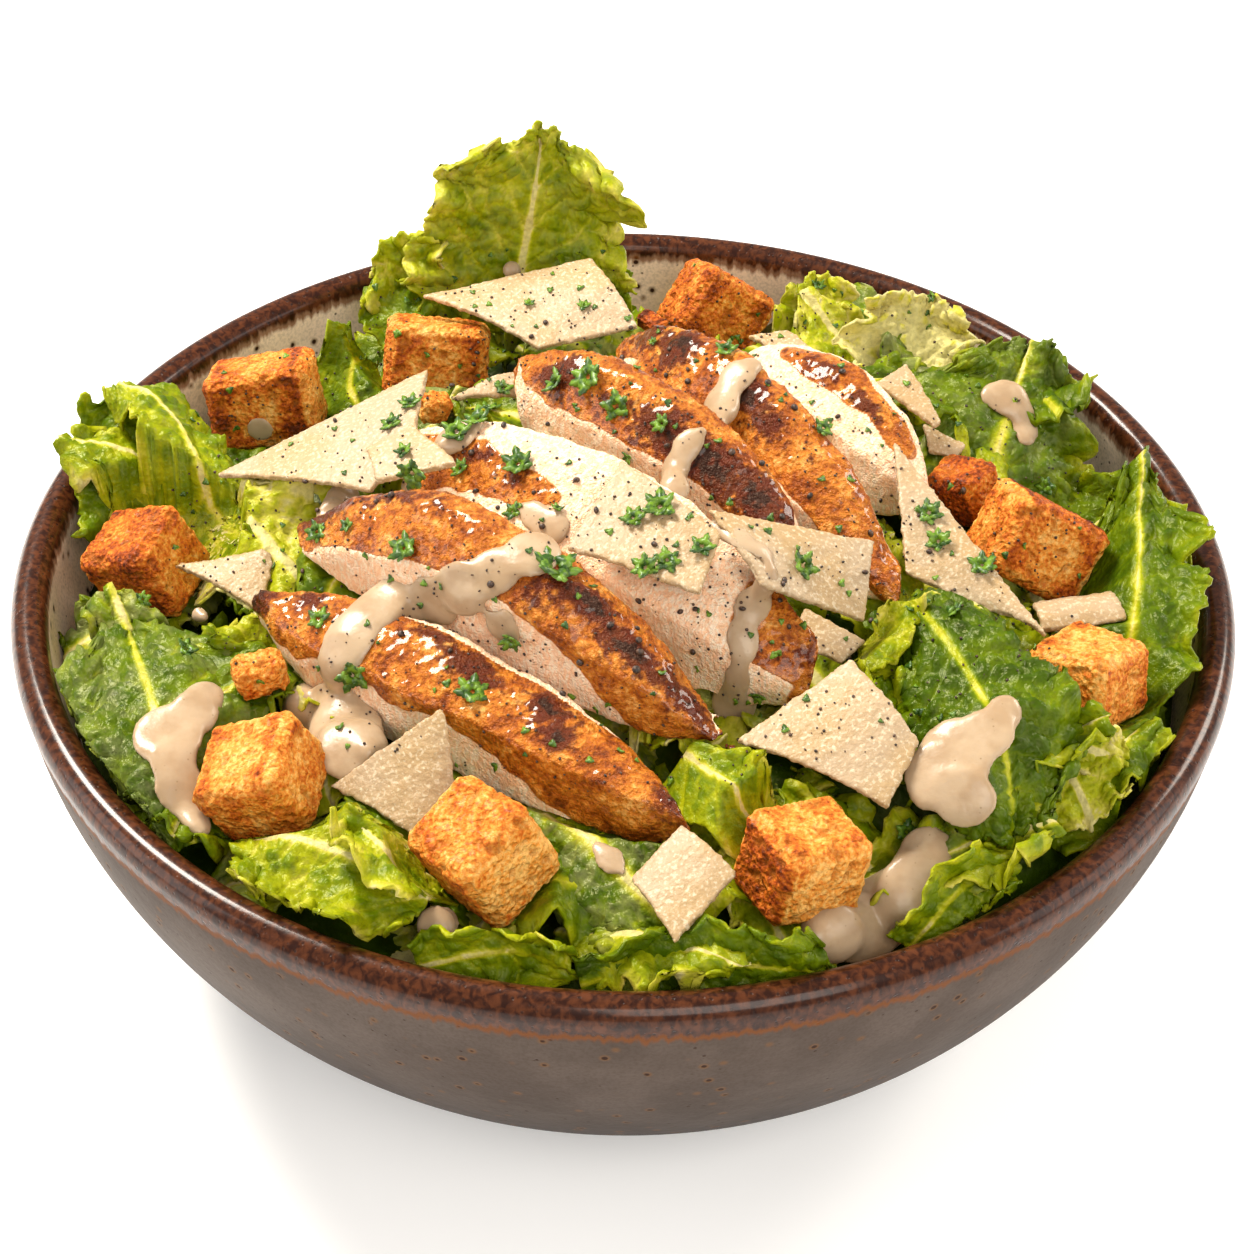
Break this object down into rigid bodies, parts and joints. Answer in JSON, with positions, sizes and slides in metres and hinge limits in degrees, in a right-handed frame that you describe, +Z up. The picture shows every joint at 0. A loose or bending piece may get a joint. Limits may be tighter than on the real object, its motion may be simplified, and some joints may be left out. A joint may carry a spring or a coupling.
{
  "type": "chicken caesar salad",
  "caption": "Chicken caesar salad served in a round stoneware bowl: sliced seared chicken, croutons and cheese shavings over a heap of romaine with creamy dressing.",
  "frame": {"origin": "middle of the bowl's foot, on the surface that it stands on", "axes": "+Z up out of the bowl; +X to the right and +Y to the back, as the salad is faced from its front"},
  "size_m": [0.25, 0.25, 0.1339],
  "materials": {
    "glazed_stoneware": "satin speckled glaze with a gloss brown lip",
    "romaine": "moist leaf",
    "seared_chicken": "seared and moist",
    "toasted_bread": "toasted, matte",
    "hard_cheese": "matte, granular",
    "dressing": "glossy cream",
    "parsley": "matte leaf",
    "pepper": "coarse ground"
  },
  "bodies": {
    "root": {"bowl": "glazed_stoneware", "chicken_slice_back": "seared_chicken", "chicken_slice_fifth": "seared_chicken", "chicken_slice_fourth": "seared_chicken", "chicken_slice_front": "seared_chicken", "chicken_slice_middle": "seared_chicken", "chicken_slice_second": "seared_chicken", "crouton_back": "toasted_bread", "crouton_back_left": "toasted_bread", "crouton_chip_back": "toasted_bread", "crouton_chip_far": "toasted_bread", "crouton_chip_left": "toasted_bread", "crouton_front": "toasted_bread", "crouton_front_left": "toasted_bread", "crouton_front_right": "toasted_bread", "crouton_left": "toasted_bread", "crouton_left_of_shaving": "toasted_bread", "crouton_right": "toasted_bread", "crouton_right_back": "toasted_bread", "crouton_small_right": "toasted_bread", "romaine_heap": "romaine", "romaine_leaf_tall": "romaine", "shaving_back": "hard_cheese", "shaving_behind_back": "hard_cheese", "shaving_behind_fifth": "hard_cheese", "shaving_between": "hard_cheese", "shaving_front": "hard_cheese", "shaving_front_left": "hard_cheese", "shaving_front_right": "hard_cheese", "shaving_left_long": "hard_cheese", "shaving_left_low": "hard_cheese", "shaving_left_of_fourth": "hard_cheese", "shaving_left_upper": "hard_cheese", "shaving_on_middle": "hard_cheese", "shaving_over_ends": "hard_cheese", "shaving_right_long": "hard_cheese", "shaving_right_small": "hard_cheese", "shaving_under_ends": "hard_cheese"}
  },
  "joints": []
}
